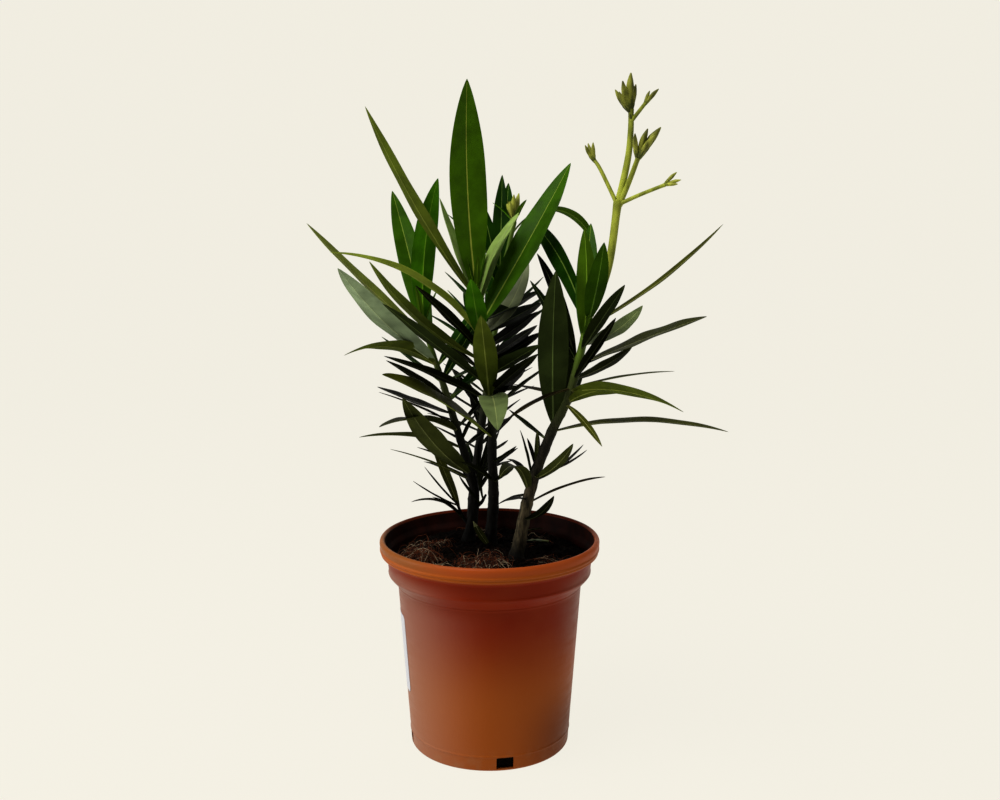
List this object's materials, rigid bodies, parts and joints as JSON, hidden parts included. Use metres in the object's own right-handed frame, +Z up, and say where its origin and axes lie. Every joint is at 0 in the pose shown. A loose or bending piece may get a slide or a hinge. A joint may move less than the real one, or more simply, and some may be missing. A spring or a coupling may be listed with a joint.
{
  "type": "potted oleander",
  "caption": "Young oleander in a round nursery pot, with woody stems, narrow leaves in whorls and an opening flower stalk.",
  "frame": {"origin": "centre of the pot's flat underside", "axes": "+Z up the plant, -Y towards its front, +X to the right as seen from the front"},
  "size_m": [0.312, 0.246, 0.512],
  "materials": {
    "terracotta_plastic": "semi-gloss moulded plastic, brown terracotta",
    "potting_mix": "damp peat and coir, matt",
    "stem_bark": "dark smooth young bark",
    "young_leaf": "leathery satin leaf, bright olive green",
    "old_leaf": "leathery satin leaf, dark green",
    "flower_stalk": "soft yellow-green stalk and buds, matt"
  },
  "bodies": {
    "root": {"pot": "terracotta_plastic", "potting_mix": "potting_mix", "stem_right": "stem_bark", "stem_centre": "stem_bark", "stem_left": "stem_bark", "stem_back": "stem_bark", "foliage_right_foot": "old_leaf", "foliage_right_middle": "old_leaf", "foliage_right_top": "young_leaf", "foliage_centre_foot": "old_leaf", "foliage_centre_middle": "old_leaf", "foliage_centre_top": "young_leaf", "foliage_left_foot": "old_leaf", "foliage_left_top": "young_leaf", "foliage_back_foot": "old_leaf", "foliage_back_top": "young_leaf", "sprig_left_inner": "old_leaf", "sprig_left_outer": "old_leaf", "sprig_back": "old_leaf", "flower_stalk": "flower_stalk"}
  },
  "joints": []
}
